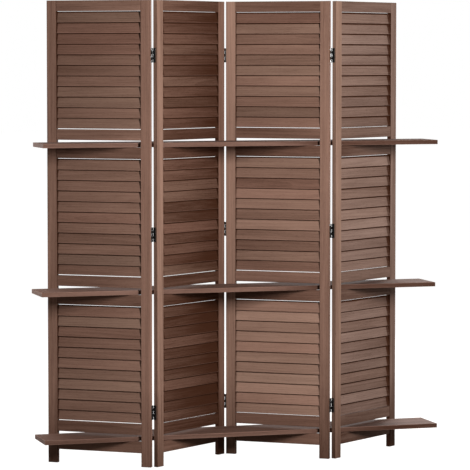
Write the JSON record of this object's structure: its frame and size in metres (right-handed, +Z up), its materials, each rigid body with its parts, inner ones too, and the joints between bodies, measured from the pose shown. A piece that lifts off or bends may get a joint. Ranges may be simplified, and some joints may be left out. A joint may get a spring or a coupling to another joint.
{
  "type": "folding screen",
  "caption": "Louvred wooden folding screen whose hinged panels stand in a zigzag, with long shelf boards laid through slots in the panels.",
  "frame": {"origin": "on the floor, under the middle of the box round the whole screen, in line with the middles of the panels", "axes": "+X along the boards to the right seen from the front, +Y to the back, +Z up"},
  "size_m": [1.5276, 0.2502, 1.7],
  "materials": {
    "frame_wood": "brown stain, satin",
    "slat_wood": "brown stain, satin",
    "board_wood": "brown stain, satin",
    "hinge_steel": "gloss black"
  },
  "bodies": {
    "panel_1": {"panel_1_left_stile_and_slats": "slat_wood", "panel_1_right_stile": "frame_wood", "panel_1_bottom_slot_lower_rail": "frame_wood", "panel_1_bottom_slot_upper_rail": "frame_wood", "panel_1_middle_slot_lower_rail": "frame_wood", "panel_1_middle_slot_upper_rail": "frame_wood", "panel_1_top_slot_lower_rail": "frame_wood", "panel_1_top_slot_upper_rail": "frame_wood", "panel_1_top_rail": "frame_wood", "hinge_a_bottom_pin_leaf": "hinge_steel", "hinge_a_middle_pin_leaf": "hinge_steel", "hinge_a_top_pin_leaf": "hinge_steel"},
    "panel_2": {"panel_2_left_stile_and_slats": "slat_wood", "panel_2_right_stile": "frame_wood", "panel_2_bottom_slot_lower_rail": "frame_wood", "panel_2_bottom_slot_upper_rail": "frame_wood", "panel_2_middle_slot_lower_rail": "frame_wood", "panel_2_middle_slot_upper_rail": "frame_wood", "panel_2_top_slot_lower_rail": "frame_wood", "panel_2_top_slot_upper_rail": "frame_wood", "panel_2_top_rail": "frame_wood", "hinge_a_bottom_plain_leaf": "hinge_steel", "hinge_a_middle_plain_leaf": "hinge_steel", "hinge_a_top_plain_leaf": "hinge_steel", "hinge_b_bottom_pin_leaf": "hinge_steel", "hinge_b_middle_pin_leaf": "hinge_steel", "hinge_b_top_pin_leaf": "hinge_steel"},
    "panel_3": {"panel_3_left_stile_and_slats": "slat_wood", "panel_3_right_stile": "frame_wood", "panel_3_bottom_slot_lower_rail": "frame_wood", "panel_3_bottom_slot_upper_rail": "frame_wood", "panel_3_middle_slot_lower_rail": "frame_wood", "panel_3_middle_slot_upper_rail": "frame_wood", "panel_3_top_slot_lower_rail": "frame_wood", "panel_3_top_slot_upper_rail": "frame_wood", "panel_3_top_rail": "frame_wood", "hinge_b_bottom_plain_leaf": "hinge_steel", "hinge_b_middle_plain_leaf": "hinge_steel", "hinge_b_top_plain_leaf": "hinge_steel", "hinge_c_bottom_pin_leaf": "hinge_steel", "hinge_c_middle_pin_leaf": "hinge_steel", "hinge_c_top_pin_leaf": "hinge_steel"},
    "panel_4": {"panel_4_left_stile_and_slats": "slat_wood", "panel_4_right_stile": "frame_wood", "panel_4_bottom_slot_lower_rail": "frame_wood", "panel_4_bottom_slot_upper_rail": "frame_wood", "panel_4_middle_slot_lower_rail": "frame_wood", "panel_4_middle_slot_upper_rail": "frame_wood", "panel_4_top_slot_lower_rail": "frame_wood", "panel_4_top_slot_upper_rail": "frame_wood", "panel_4_top_rail": "frame_wood", "hinge_c_bottom_plain_leaf": "hinge_steel", "hinge_c_middle_plain_leaf": "hinge_steel", "hinge_c_top_plain_leaf": "hinge_steel"},
    "bottom_board": {"bottom_board": "board_wood"},
    "middle_board": {"middle_board": "board_wood"},
    "top_board": {"top_board": "board_wood"}
  },
  "joints": [
    {"name": "fold_a", "type": "hinge", "parent": "panel_2", "child": "panel_1", "pos_m": [-0.35735, -0.11108, 0.85], "axis": [0, 0, -1], "range_deg": [0, 107]},
    {"name": "fold_b", "type": "hinge", "parent": "panel_2", "child": "panel_3", "pos_m": [-0.01465, 0.11108, 0.85], "axis": [0, 0, -1], "range_deg": [0, 107]},
    {"name": "fold_c", "type": "hinge", "parent": "panel_3", "child": "panel_4", "pos_m": [0.32804, -0.11108, 0.85], "axis": [0, 0, 1], "range_deg": [0, 107]},
    {"name": "boards_turn", "type": "hinge", "parent": "panel_2", "child": "bottom_board", "pos_m": [-0.186, 0, 0.093], "axis": [0, 0, -1], "range_deg": [0, 53.5]},
    {"name": "middle_board_slide", "type": "slide", "parent": "bottom_board", "child": "middle_board", "axis": [1, 0, 0], "range_m": [-0.45, 0.45]},
    {"name": "top_board_slide", "type": "slide", "parent": "bottom_board", "child": "top_board", "axis": [1, 0, 0], "range_m": [-0.45, 0.45]}
  ],
  "couplings": [
    {"joint": "fold_b", "follows": "fold_a", "ratio": 1},
    {"joint": "fold_c", "follows": "fold_a", "ratio": 1},
    {"joint": "boards_turn", "follows": "fold_a", "ratio": 0.5}
  ]
}
